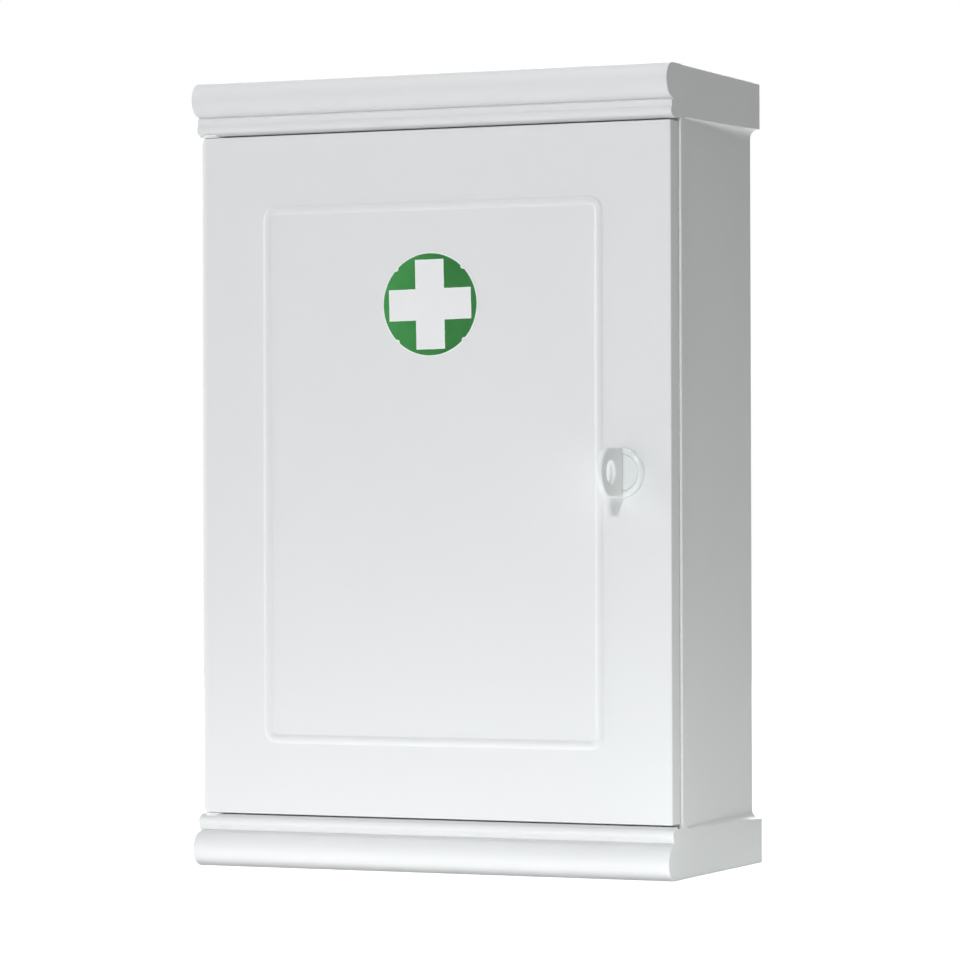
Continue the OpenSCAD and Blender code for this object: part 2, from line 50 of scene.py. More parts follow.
def arc(centre, radius, first, last, steps):
    # part of a circle: centre plus radius times (cosine, sine), from one angle to another in degrees
    turn = np.radians(np.linspace(first, last, steps + 1))
    return np.column_stack([centre[0] + radius * np.cos(turn), centre[1] + radius * np.sin(turn)])


def rectangle(a0, a1, b0, b1):
    return np.array([[a0, b0], [a1, b0], [a1, b1], [a0, b1]], float)


def roundCorners(corners, radius, steps=6):
    # each corner gives way to an arc that touches both its sides. With u and v the unit vectors to the
    # neighbours, its centre is (u + v) r / sin(angle) from the corner, and it turns evenly between the two
    # points where it touches
    p = np.asarray(corners, float)
    r = np.broadcast_to(np.asarray(radius, float), (len(p),))[:, None]
    u = np.roll(p, 1, 0) - p
    v = np.roll(p, -1, 0) - p
    u /= np.linalg.norm(u, axis=1, keepdims=True)
    v /= np.linalg.norm(v, axis=1, keepdims=True)
    cosine = (u * v).sum(1, keepdims=True)
    sine = np.sqrt(1 - cosine**2)
    centre = p + (u + v) * r / sine
    reach = r * (1 + cosine) / sine
    first = (p + u * reach - centre)[:, None]
    last = (p + v * reach - centre)[:, None]
    sweep = (np.pi - np.arccos(np.clip(cosine, -1, 1)))[:, None]
    t = np.linspace(0, 1, steps + 1)[None, :, None]
    points = centre[:, None] + (np.sin((1 - t) * sweep) * first + np.sin(t * sweep) * last) / np.sin(sweep)
    return points.reshape(-1, 2)


def inset(outline, distance):
    # each point moves along the sum of its two sides' inward normals over 1 plus their product,
    # so that both sides end up moved in by the distance, which may differ from point to point
    before = outline - np.roll(outline, 1, 0)
    after = np.roll(before, -1, 0)
    a, b = outline.T
    turned = np.sign((a * np.roll(b, -1) - np.roll(a, -1) * b).sum())
    n1 = turned * np.column_stack([-before[:, 1], before[:, 0]]) / np.linalg.norm(before, axis=1, keepdims=True)
    n2 = turned * np.column_stack([-after[:, 1], after[:, 0]]) / np.linalg.norm(after, axis=1, keepdims=True)
    shift = (n1 + n2) / (1 + (n1 * n2).sum(1, keepdims=True))
    return outline + shift * np.reshape(distance, (-1, 1))


def lay(outline, depth, plane):
    # a flat outline in space: "xz" takes the depth as y, "xy" as z and "yz" as x
    a, b = outline[:, 0], outline[:, 1]
    d = np.broadcast_to(np.asarray(depth, float), a.shape)
    return np.column_stack({"xz": (a, d, b), "xy": (a, b, d), "yz": (d, a, b)}[plane])


def loft(loops, closed=False, caps=True):
    # a grid of loops and their points: quads between neighbours, and a face over the first and the last loop
    loops = np.asarray(loops, float)
    rows, columns = loops.shape[:2]
    i = np.arange(rows if closed else rows - 1)[:, None]
    j = np.arange(columns)[None, :]
    k, n = (j + 1) % columns, (i + 1) % rows
    corners = np.stack([i * columns + j, i * columns + k, n * columns + k, n * columns + j], -1).ravel()
    sizes = np.full(len(corners) // 4, 4)
    if caps and not closed:
        corners = np.concatenate([corners, np.arange(columns), (rows - 1) * columns + np.arange(columns)])
        sizes = np.append(sizes, [columns, columns])
    return loops.reshape(-1, 3), corners, sizes


def rounding(edge, steps):
    # a quarter circle in steps: at the angle w an outline is moved in by edge (1 - sin w) and stands
    # edge (1 - cos w) inside the end. The edge may differ from point to point
    w = np.linspace(0, np.pi / 2, steps + 1)
    return list(zip(np.multiply.outer(1 - np.sin(w), edge), np.multiply.outer(1 - np.cos(w), edge)))


def softPrism(outline, low, high, plane, edge=0.3, steps=3):
    # an outline drawn out between two depths, its end edges rounded
    ends = rounding(edge, steps)
    loops = [lay(inset(outline, m), low + s, plane) for m, s in ends]
    return loft(loops + [lay(inset(outline, m), high - s, plane) for m, s in ends[::-1]])


def lathe(profile, centre, axis, closed=False, count=72):
    # a profile of (radius, height) turned about an axis along y or z
    profile = np.asarray(profile, float)
    turn = np.linspace(0, 2 * np.pi, count, endpoint=False)
    a = centre[0] + profile[:, :1] * np.cos(turn)
    b = centre[1] + profile[:, :1] * np.sin(turn)
    h = profile[:, 1:] + np.zeros_like(a)
    loops = np.stack((a, h, b) if axis == "y" else (a, b, h), -1)
    return loft(loops, closed, caps=profile[0, 0] > 1e-6)


def bar(centre, radius, low, high, axis="y", flare=0.0, count=48):
    # a round bar; with a flare it widens at both ends over that height, so that what it cuts gets soft lips
    w = np.linspace(0, np.pi / 2, 5)
    out, up = flare * (1 - np.cos(w)), flare * np.sin(w)
    lower = np.column_stack([radius + out[::-1], low + flare - up[::-1]])
    upper = np.column_stack([radius + out, high - flare + up])
    past = 2.0 if flare else 0.0
    profile = np.vstack([[lower[0] - [0, past]], lower, upper, [upper[-1] + [0, past]]])
    return lathe(profile, centre, axis, count=count)


def build(name, *forms, places=((0, 0, 0),)):
    # the forms become one mesh, once at each place; doubles are merged and all faces turned outwards
    points, corners, sizes, base = [], [], [], 0
    for place in places:
        for p, c, s in forms:
            points.append(p + np.asarray(place, float))
            corners.append(c + base)
            sizes.append(s)
            base += len(p)
    points, corners, sizes = np.vstack(points), np.concatenate(corners), np.concatenate(sizes)
    mesh = bpy.data.meshes.new(name)
    mesh.vertices.add(len(points))
    mesh.vertices.foreach_set("co", (points / 1000).astype(np.float32).ravel())
    mesh.loops.add(len(corners))
    mesh.loops.foreach_set("vertex_index", corners.astype(np.int32))
    mesh.polygons.add(len(sizes))
    mesh.polygons.foreach_set("loop_start", (np.cumsum(sizes) - sizes).astype(np.int32))
    mesh.update(calc_edges=True)
    mesh.validate()
    work = bmesh.new()
    work.from_mesh(mesh)
    bmesh.ops.remove_doubles(work, verts=work.verts, dist=2e-7)
    bmesh.ops.dissolve_degenerate(work, edges=work.edges, dist=1e-8)
    bmesh.ops.recalc_face_normals(work, faces=work.faces)
    work.to_mesh(mesh)
    work.free()
    piece = bpy.data.objects.new(name, mesh)
    scene.collection.objects.link(piece)
    return piece


def settle(piece):
    # what the modifiers make becomes the piece's own mesh
    state = bpy.context.evaluated_depsgraph_get()
    whole = piece.evaluated_get(state)
    made = bpy.data.meshes.new_from_object(whole, preserve_all_data_layers=True, depsgraph=state)
    old = piece.data
    piece.modifiers.clear()
    piece.data = made
    bpy.data.meshes.remove(old)


def combine(piece, tool, operation="DIFFERENCE"):
    # the tool is cut from the piece, joined to it or kept in common with it, and is then used up
    step = piece.modifiers.new("step", "BOOLEAN")
    step.operation, step.solver, step.object = operation, "EXACT", tool
    settle(piece)
    mesh = tool.data
    bpy.data.objects.remove(tool)
    bpy.data.meshes.remove(mesh)
    return piece


def cut(piece, *forms, places=((0, 0, 0),)):
    return combine(piece, build("tool", *forms, places=places))


def join(piece, *forms, places=((0, 0, 0),)):
    return combine(piece, build("tool", *forms, places=places), "UNION")


def handOver(piece, body, stands, finishes, sharp=32):
    # smooth shading that keeps flats flat, then the finish, the body it rides on and the node it stands for
    mesh = piece.data
    mesh.polygons.foreach_set("use_smooth", np.ones(len(mesh.polygons), bool))
    mesh.set_sharp_from_angle(angle=math.radians(sharp))
    even = piece.modifiers.new("even", "WEIGHTED_NORMAL")
    even.keep_sharp = True
    settle(piece)
    piece.data.materials.clear()
    for finish in finishes:
        piece.data.materials.append(finish)
    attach(piece, body)
    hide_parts(stands)
    print("made", piece.name, len(piece.data.polygons))


class Wire:
    # an output socket of a material; sums on it add Math nodes, and add() makes any other node
    def __init__(self, socket):
        self.socket = socket
        self.tree = socket.id_data

    def add(self, kind, settings=None, values=None, out=0):
        node = self.tree.nodes.new(kind)
        for key, value in (settings or {}).items():
            setattr(node, key, value)
        fill(node, values or {})
        return Wire(node.outputs[out])

    def maths(self, operation, a, b):
        return self.add("ShaderNodeMath", {"operation": operation}, {0: a, 1: b})

    def __add__(self, other):
        return self.maths("ADD", self, other)

    def __radd__(self, other):
        return self.maths("ADD", other, self)

    def __sub__(self, other):
        return self.maths("SUBTRACT", self, other)

    def __rsub__(self, other):
        return self.maths("SUBTRACT", other, self)

    def __mul__(self, other):
        return self.maths("MULTIPLY", self, other)

    def __rmul__(self, other):
        return self.maths("MULTIPLY", other, self)

    def stretched(self, x, y, z):
        return self.add("ShaderNodeVectorMath", {"operation": "MULTIPLY"}, {0: self, 1: (x, y, z)})

    def noise(self, scale, detail=2.0, rough=0.5):
        return self.add("ShaderNodeTexNoise", None,
                        {"Vector": self, "Scale": scale, "Detail": detail, "Roughness": rough})

    def between(self, low, high):
        # 0 below low, 1 above high, smooth in between
        return self.add("ShaderNodeMapRange", {"interpolation_type": "SMOOTHSTEP"},
                        {"Value": self, "From Min": low, "From Max": high})

    def colours(self, a, b):
        # the wire's value mixes colour a into colour b
        return self.add("ShaderNodeMix", {"data_type": "RGBA"}, {0: self, 6: a, 7: b}, out=2)

    def relief(self, high, under=None):
        # the wire's value as a relief this many metres high, laid over another relief
        values = {"Strength": 1.0, "Distance": high, "Height": self}
        return self.add("ShaderNodeBump", None, values if under is None else {**values, "Normal": under})


def fill(node, values):
    # each input named gets its wire, number or colour
    for key, value in values.items():
        if isinstance(value, Wire):
            node.id_data.links.new(value.socket, node.inputs[key])
        else:
            node.inputs[key].default_value = value


def newFinish(name):
    # an empty material with its shader, and the object's own coordinates in metres
    material = bpy.data.materials.new(name)
    material.use_nodes = True
    nodes = material.node_tree.nodes
    return material, nodes["Principled BSDF"], Wire(nodes.new("ShaderNodeTexCoord").outputs["Object"])


def shaded(colour, by):
    return (colour[0] * by, colour[1] * by, colour[2] * by, 1.0)


def mouldedPlastic(name, look):
    # colour mottled by slow and fine noise, pigment specks, a faint ripple of the mould and a fine grain in the
    # surface, and a roughness that rises in rubbed patches and along hairline scratches
    material, shader, place = newFinish(name)
    slow = place.noise(look["mottle"], 3.0, 0.55)
    fine = place.noise(look["mottle"] * 14, 2.0)
    tone = (slow * 0.7 + fine * 0.3).between(0.3, 0.7)
    body = tone.colours(shaded(look["colour"], 1 - look["vary"]), shaded(look["colour"], 1 + look["vary"]))
    specks = place.noise(2600.0, 1.0).between(0.71, 0.76)
    body = (specks * look["specks"]).colours(body, shaded(look["colour"], 0.72))
    rubbed = place.noise(26.0, 4.0, 0.6).between(0.45, 0.75)
    scratch = place.stretched(1.0, 1.0, 0.06).noise(900.0, 2.0, 0.6).between(0.66, 0.72)
    scratch = scratch * place.noise(40.0, 1.0).between(0.5, 0.65)
    rough = look["rough"] + rubbed * look["rub"] + scratch * look["hairline"]
    waves = place.noise(look["ripple"], 1.0).relief(look["rippleHigh"] / 1000)
    pores = place.noise(look["grain"], 2.0, 0.6).relief(look["grainHigh"] / 1000, waves)
    shader.inputs["Base Color"].default_value = shaded(look["colour"], 1)
    fill(shader, {"Base Color": body, "Roughness": rough, "Normal": pores, "IOR": 1.49,
                  "Specular IOR Level": look.get("shine", 0.5), "Coat Weight": look.get("coat", 0.0),
                  "Coat Roughness": 0.12, "Subsurface Weight": look.get("milky", 0.0),
                  "Subsurface Radius": (0.002, 0.0022, 0.0022)})
    return material


def zincSteel(name, look):
    # fine brushing from noise stretched along z, a slow tint between blue and straw, and dull patches
    material, shader, place = newFinish(name)
    tint = place.noise(70.0, 2.0).between(0.35, 0.65).colours(shaded(look["cool"], 1), shaded(look["warm"], 1))
    dull = place.noise(210.0, 4.0, 0.65).between(0.42, 0.72)
    tint = (dull * 0.35).colours(tint, shaded(look["cool"], 0.72))
    brush = place.stretched(1.0, 1.0, 0.05).noise(4200.0, 2.0)
    fill(shader, {"Base Color": tint, "Roughness": look["rough"] + dull * 0.14 + brush * 0.08, "Metallic": 1.0,
                  "Normal": (brush + place.noise(1500.0, 2.0)).relief(1.5e-6)})
    return material


def bufferRubber(name, look):
    # a soft dull grey with a fine matt grain and dust in patches
    material, shader, place = newFinish(name)
    dust = place.noise(500.0, 4.0, 0.65).between(0.4, 0.75)
    fill(shader, {"Base Color": (dust * 0.5).colours(shaded(look["colour"], 1), shaded(look["colour"], 1.3)),
                  "Roughness": look["rough"] + dust * 0.15, "Normal": place.noise(3800.0, 2.0).relief(6e-6)})
    return material


def printedFilm(name, look):
    # ink on a gloss film, its colour darker towards the right, with a slow change of density, a fine screen of
    # ink dots and a faint orange peel
    material, shader, place = newFinish(name)
    density = place.noise(look["cloud"], 3.0, 0.6).between(0.3, 0.7)
    # the colour runs evenly from the light ink on the left to the dark ink on the right
    across = place.add("ShaderNodeSeparateXYZ", None, {0: place}).between(-0.034, 0.024)
    screen = place.noise(3400.0, 1.0).between(0.35, 0.65)
    ink = across * 0.5 + density * 0.38 + screen * 0.12
    fill(shader, {"Base Color": ink.colours(shaded(look["light"], 1), shaded(look["dark"], 1)), "IOR": 1.46,
                  "Roughness": look["rough"] + place.noise(60.0, 3.0) * 0.1,
                  "Normal": place.noise(420.0, 2.0).relief(4e-6)})
    return material


plasticLooks = {
    "whiteShell": {"colour": (0.86, 0.865, 0.865), "mottle": 11.0, "vary": 0.004, "specks": 0.02, "rough": 0.29,
                   "rub": 0.03, "hairline": 0.05, "ripple": 150.0, "rippleHigh": 0.0016, "grain": 2200.0,
                   "grainHigh": 0.0010, "shine": 0.22},
    "whiteInner": {"colour": (0.84, 0.845, 0.835), "mottle": 14.0, "vary": 0.015, "specks": 0.15, "rough": 0.46,
                   "rub": 0.10, "hairline": 0.08, "ripple": 130.0, "rippleHigh": 0.008, "grain": 1500.0,
                   "grainHigh": 0.006},
    "lockPlastic": {"colour": (0.85, 0.88, 0.872), "mottle": 60.0, "vary": 0.015, "specks": 0.06, "rough": 0.22,
                    "rub": 0.08, "hairline": 0.20, "ripple": 300.0, "rippleHigh": 0.003, "grain": 2600.0,
                    "grainHigh": 0.001, "coat": 0.2, "milky": 0.12},
    "keyPlastic": {"colour": (0.91, 0.925, 0.92), "mottle": 50.0, "vary": 0.015, "specks": 0.08, "rough": 0.30,
                   "rub": 0.12, "hairline": 0.25, "ripple": 260.0, "rippleHigh": 0.004, "grain": 2100.0,
                   "grainHigh": 0.0018, "coat": 0.1, "milky": 0.05},
    "bushPlastic": {"colour": (0.88, 0.88, 0.86), "mottle": 90.0, "vary": 0.01, "specks": 0.05, "rough": 0.42,
                    "rub": 0.08, "hairline": 0.10, "ripple": 260.0, "rippleHigh": 0.003, "grain": 1800.0,
                    "grainHigh": 0.003},
}
whiteShell, whiteInner, lockPlastic, keyPlastic, bushPlastic = (
    mouldedPlastic(name, look) for name, look in plasticLooks.items())
steelLook = {"cool": (0.53, 0.56, 0.59), "warm": (0.60, 0.59, 0.55), "rough": 0.30}
steel = zincSteel("zincSteel", steelLook)
rubber = bufferRubber("bufferRubber", {"colour": (0.50, 0.51, 0.51), "rough": 0.62})
filmLooks = {
    "greenInk": {"light": (0.045, 0.32, 0.068), "dark": (0.006, 0.145, 0.017), "cloud": 24.0, "rough": 0.2},
    "whiteInk": {"light": (0.94, 0.94, 0.94), "dark": (0.92, 0.92, 0.93), "cloud": 30.0, "rough": 0.2},
    "borderInk": {"light": (0.99, 0.99, 0.99), "dark": (0.98, 0.98, 0.98), "cloud": 30.0, "rough": 0.2},
    "filmEdge": {"light": (0.96, 0.98, 0.97), "dark": (0.93, 0.96, 0.95), "cloud": 60.0, "rough": 0.24},
}
greenInk, whiteInk, borderInk, filmEdge = (printedFilm(name, look) for name, look in filmLooks.items())
print("finishes made:", len(bpy.data.materials))

box = {"halfWidth": 150.0, "halfHeight": 230.0, "rim": -128.0, "band": -121.0, "bandStep": 0.6, "lean": 5.4,
       "wall": 3.0, "crown": 200.0, "base": -201.0, "coveBack": 5.0, "coveFront": 0.4, "coveDrop": 2.0,
       "edge": 0.8, "tight": 0.12, "backEdge": 0.5, "openSide": 139.0, "openLow": -190.0, "openTop": 189.0,
       "openCorner": 1.5, "roomEdge": 1.5, "wide": 6.0, "holeAt": (110.0, 175.0), "hole": 2.75, "pad": 8.0,
       "padHigh": 2.0, "screwBore": 1.9, "screwLines": (215.0, -215.5), "ledgeWide": 8.0, "ledgeThick": 3.0,
       "ledgeFront": -109.0, "ledgeSunk": 0.6, "shelfTops": (-75.0, 70.0), "shelfThick": 3.0,
       "guards": (0.5, 1.2, 2.2, 4.0)}
screwRow = np.linspace(-110.0, 110.0, 4)


def sideX(y):
    # the outer face of a side leans in evenly from the front band to the wall
    return box["halfWidth"] - box["bandStep"] - box["lean"] * (y - box["band"]) / -box["band"]


def shellOutline(y, out=0.0):
    # the cabinet's outline at depth y: crown, cove, leaning side, cove and base on the right, and the same on
    # the left. The cove is a quarter circle that grows and sinks evenly towards the wall, with a soft tail. The
    # guards keep the shading of the long flats even. out moves the side out to the band
    half, high = box["halfWidth"], box["halfHeight"]
    t = max(0.0, (y - box["band"]) / -box["band"])
    side = sideX(max(y, box["band"]))
    r = box["coveFront"] + t * (box["coveBack"] - box["coveFront"])
    drop = box["coveDrop"] * t
    centre = side + 0.1 + r
    last = 180 - math.degrees(math.asin(drop / r))
    cove = arc((centre, -drop), r, 90, last, 10)
    corner = np.array([half, cove[0, 1] + 0.02])
    gap = cove[-1, 0] - side
    tail = np.array([[side + 0.45 * gap, -0.15 - 0.55 * t], [side + 0.12 * gap, -0.3 - t]])
    guards = np.array([[side, -deep - 1.7 * t] for deep in box["guards"]])
    chain = np.vstack([corner + [0, 1.8], corner + [0, 0.8], corner, cove, tail, guards])
    chain[:, 0] += out * (half - chain[:, 0])
    up = chain + [0, box["crown"]]
    down = (chain * [1, -1] + [0, box["base"]])[::-1]
    edge = box["edge"]
    top = arc((half - edge, high - edge), edge, 90, 0, 5)
    low = arc((half - edge, edge - high), edge, 0, -90, 5)
    right = np.vstack([top, [[half, high - 1.6]], up, down, [[half, 1.6 - high]], low])
    return np.vstack([right, (right * [-1, 1])[::-1]])


def roomOutline(y):
    # the room inside at depth y, wider in the crown and in the base, where the walls stand upright
    half, high, wall = box["halfWidth"], box["halfHeight"], box["wall"]
    x, wide = sideX(y) - wall, half - wall
    top, low = box["crown"] + box["wide"], box["base"] - box["wide"]
    right = [[wide, high - wall], [wide, top], [x, top], [x, low], [wide, low], [wide, wall - high]]
    left = [[-a, b] for a, b in right[::-1]]
    step = wide - x
    bend = box["roomEdge"] + 0.1
    out, into = min(bend, 0.6 * step), min(0.3, 0.3 * step)
    return roundCorners(right + left, [bend, out, into, into, out, bend] * 2, 4)


def makeShell():
    edge, back, band, rim = box["edge"], box["backEdge"], box["band"], box["rim"]
    loops = [lay(inset(shellOutline(-s), m), -s, "xz") for m, s in rounding(back, 4)]
    loops += [lay(shellOutline(y), y, "xz") for y in np.linspace(-2.0, band + 0.5, 18)]
    stepOut = ((0.25, 0.0), (0.1, 0.25), (0.0, 0.7), (-0.12, 0.95), (-0.3, 1.0))
    loops += [lay(shellOutline(band + y, out), band + y, "xz") for y, out in stepOut]
    front = shellOutline(rim, 1.0)
    # the rim is soft only beside the door
    beside = np.clip((box["crown"] - 0.2 - np.abs(front[:, 1])) / 1.5, box["tight"], 1.0)
    loops += [lay(inset(front, m * beside), rim + s * beside, "xz") for m, s in rounding(edge, 4)[::-1]]
    shell = build("carcassShell", loft(loops))
    front, wall, turn = rim + box["wall"], box["wall"], box["roomEdge"]
    room = [lay(roomOutline(y), y, "xz") for y in np.linspace(front, -wall - turn, 8)]
    room += [lay(inset(roomOutline(-wall - s), m), -wall - s, "xz") for m, s in rounding(turn, 4)[-2::-1]]
    cut(shell, loft(room))
    # the opening widens at the front and at the back, which softens its lips
    opening = rectangle(-box["openSide"], box["openSide"], box["openLow"], box["openTop"])
    opening = roundCorners(opening, box["openCorner"])
    lips = [(rim - 1, 0.6), (rim, 0.6), (rim + 0.05, 0.36), (rim + 0.18, 0.18), (rim + 0.35, 0.06),
            (rim + 0.6, 0.0), (front - 0.3, 0.0), (front - 0.1, 0.08), (front, 0.3), (front + 1, 0.3)]
    cut(shell, loft([lay(inset(opening, -m), y, "xz") for y, m in lips]))
    wide, sunk = box["ledgeWide"], box["ledgeSunk"]
    near, far = box["ledgeFront"], -wall + sunk
    plan = np.array([[sideX(near) - wall + sunk, near], [sideX(near) - wall - wide, near],
                     [sideX(far) - wall - wide, far], [sideX(far) - wall + sunk, far]])
    tops = [top - box["shelfThick"] for top in box["shelfTops"]]
    join(shell, *(softPrism(roundCorners(plan * [s, 1], 0.8, 3), top - box["ledgeThick"], top, "xy", 0.4)
                  for top in tops for s in (-1, 1)))
    holes = [(sx * box["holeAt"][0], 0, sz * box["holeAt"][1]) for sx in (-1, 1) for sz in (-1, 1)]
    pad = roundCorners(rectangle(0, box["pad"], -wall - box["padHigh"], -1.0), [0, 0.6, 0, 0], 4)
    join(shell, lathe(pad, (0, 0), "y", count=64), places=holes)
    cut(shell, bar((0, 0), box["hole"], -wall - box["padHigh"], 0, flare=0.4), places=holes)
    screws = [(x, 0, z) for x in screwRow for z in box["screwLines"]]
    cut(shell, bar((0, 0), box["screwBore"], rim - 1, front + 1, count=24), places=screws)
    handOver(shell, "carcass", "carcass_shell", [whiteShell])


moulding = {"bullY": -140.0, "bull": 10.0, "neckY": -141.8, "beadY": -139.9, "bead": 3.0, "crease": 0.55,
            "creaseDeep": 1.7, "shoulder": 0.9, "lip": 1.2,
            "lipShape": ((0.6, 0.55), (1.2, 0.9), (1.8, 1.0), (3.2, 1.0), (4.0, 0.6), (4.4, 0.15), (4.9, 0.0)),
            "beadCrease": 0.5, "endEdge": 0.3, "wall": 2.5, "block": 16.0, "boss": 4.0, "screwHole": 1.73,
            "screwDeep": 8.5, "bushHole": 3.53, "bushDeep": 8.03}
hinge = {"x": -142.8, "y": -135.0, "pin": 2.0, "bore": 2.05, "bush": 3.5, "bushLong": 8.0, "collar": 6.0,
         "collarThick": 2.0, "inDoor": 14.0, "inBush": 7.0, "gap": 2.2}


def mouldingSection(high):
    # depth and height of a moulding on the line 0: the bullnose's circle runs on behind the neck's line, a
    # hollow circle turns it back out onto the shoulder's circle, which ends in the neck, then another hollow
    # circle, the bead's circle, its lip that narrows the gap to the door, and the flat against the rim.
    # Circles that touch have their centres the sum of their radii apart
    m, rim = moulding, box["rim"]
    bull, bead = np.array([m["bullY"], m["bull"]]), np.array([m["beadY"], high - m["bead"]])
    a, b, deep, swell = m["crease"], m["beadCrease"], m["creaseDeep"], m["shoulder"]
    hollow = np.array([m["neckY"] + deep - a, 0.0])
    hollow[1] = bull[1] + math.sqrt((m["bull"] + a) ** 2 - (hollow[0] - bull[0]) ** 2)
    shoulder = np.array([m["neckY"] + swell, 0.0])
    shoulder[1] = hollow[1] + math.sqrt((a + swell) ** 2 - (shoulder[0] - hollow[0]) ** 2)
    nook = np.array([m["neckY"] - b, 0.0])
    nook[1] = bead[1] - math.sqrt((m["bead"] + b) ** 2 - (nook[0] - bead[0]) ** 2)
    up = math.degrees(math.atan2(hollow[1] - bull[1], bull[0] - hollow[0]))
    over = math.degrees(math.atan2(shoulder[1] - hollow[1], shoulder[0] - hollow[0]))
    down = math.degrees(math.atan2(bead[1] - nook[1], bead[0] - nook[0]))
    turned = arc(hollow, a, -up, over, 9)
    soft = arc(shoulder, swell, 180 + over, 180, 6)
    lip = np.array(m["lipShape"]) * [1, m["lip"]] + [bead[0], high]
    return np.vstack([[[rim, 0.0]], arc(bull, m["bull"], 270, 180 - up, 30), turned[1:], soft[1:],
                      arc(nook, b, 0, down, 6), arc(bead, m["bead"], 180 + down, 100, 13)[1:], lip,
                      [[rim, high]]])


def makeMoulding(name, high, flip):
    # the section is carried along x and drawn in at both ends; the hollow leaves bosses for the screws
    m, half, rim = moulding, box["halfWidth"], box["rim"]
    place = lambda section: section * [1, flip] + [0, -flip * box["halfHeight"]]
    outline = place(mouldingSection(high))
    ends = rounding(m["endEdge"], 3)
    tight = np.where(outline[:, 0] > rim - 0.5, 0.3, 1.0)        # less rounding against the rim
    loops = [lay(inset(outline, a * tight), -half + s * tight, "yz") for a, s in ends]
    loops += [lay(outline, x, "yz") for x in np.linspace(-half + 2, half - 2, 12)]
    loops += [lay(inset(outline, a * tight), half - s * tight, "yz") for a, s in ends[::-1]]
    piece = build(name + "Moulding", loft(loops))
    inner = m["bull"] - m["wall"]
    deep = max(m["bullY"], m["neckY"] + m["wall"])
    core = np.vstack([[[rim + 1, m["bull"] - inner]], arc((m["bullY"], m["bull"]), inner, 270, 90, 24),
                      [[deep, m["bull"] + inner], [deep, high - m["wall"]], [rim + 1, high - m["wall"]]]])
    hollow = build("hollow", softPrism(place(core), -half + m["block"], half - m["wall"], "yz", 0.5))
    screws = [(x, 0, -flip * (box["halfHeight"] - high / 2)) for x in screwRow]
    cut(hollow, bar((0, 0), m["boss"], -152, rim + 3), places=screws)
    combine(piece, hollow)
    cut(piece, bar((0, 0), m["screwHole"], rim - m["screwDeep"], rim + 2, count=24), places=screws)
    face = -flip * (box["halfHeight"] - high)
    low, top = sorted((face + flip * 2, face - flip * m["bushDeep"]))
    cut(piece, bar((hinge["x"], hinge["y"]), m["bushHole"], low, top, "z"))
    handOver(piece, "carcass", name, [whiteShell])


makeShell()
makeMoulding("cornice", 30.0, -1)
makeMoulding("plinth", 29.0, 1)

door = {"half": 148.8, "low": -198.8, "top": 197.8, "front": -141.0, "back": -129.0, "stile": 6.0,
        "softEdge": 4.07, "edge": 0.8, "backEdge": 0.5, "cornerHinge": 3.0, "skin": 2.5, "rim": 3.0,
        "stileIn": -136.8, "lineIn": 41.5, "lineWide": 5.0, "lineHigh": 1.2, "lineCorner": 8.0,
        "lineSoft": 0.14, "linerThick": 2.0, "linerGap": 0.3, "screwX": 123.8, "screwZ": 148.3, "boss": 3.8,
        "lockBoss": 13.5}
lock = {"x": 118.5, "z": -0.5, "ring": 14.2, "ringIn": 10.7, "proud": 3.0, "flange": 1.2, "housing": 9.5,
        "bore": 6.55, "back": -123.8, "barrel": 6.5, "head": 10.6, "recess": 0.5, "slotWide": 2.5,
        "slotHigh": 7.3, "slotEnd": -126.5, "screwEnd": -125.9, "drive": 7.0, "camFront": -123.4,
        "camThick": 2.0, "camWide": 12.0, "camReach": 26.9, "hub": 8.25, "nutFlats": 24.0, "nutThick": 3.5,
        "washer": 5.6, "washerThick": 0.8}
doorMiddle = (door["low"] + door["top"]) / 2
linerScrews = [(sx * door["screwX"], 0, doorMiddle + z)
               for sx in (-1, 1) for z in np.linspace(-door["screwZ"], door["screwZ"], 4)]
lockAt = (lock["x"], lock["z"])
slotWide = 0.8      # of the cross in every screw
screwKinds = {
    "cam": {"high": 2.0, "head": 3.3, "shank": 1.5, "long": 4.8, "slot": 4.0, "sunk": False},
    "liner": {"high": 1.5, "head": 3.0, "shank": 1.5, "long": 7.0, "slot": 3.4, "sunk": True},
    "front": {"high": 2.0, "head": 3.2, "shank": 1.7, "long": 11.0, "slot": 3.6, "sunk": False},
}


def doorPlan():
    # the door seen from above: square on the free side, a half round stile with a softer front edge on the
    # other
    half, front, back, soft = door["half"], door["front"], door["back"], door["softEdge"]
    free = [arc((half - door["edge"], front + door["edge"]), door["edge"], 270, 360, 5),
            arc((half - door["backEdge"], back - door["backEdge"]), door["backEdge"], 0, 90, 4)]
    stile = [arc((hinge["x"], hinge["y"]), door["stile"], 90, 180, 18),
             arc((soft - half, front + soft), soft, 180, 270, 14)]
    return np.vstack(free + stile)


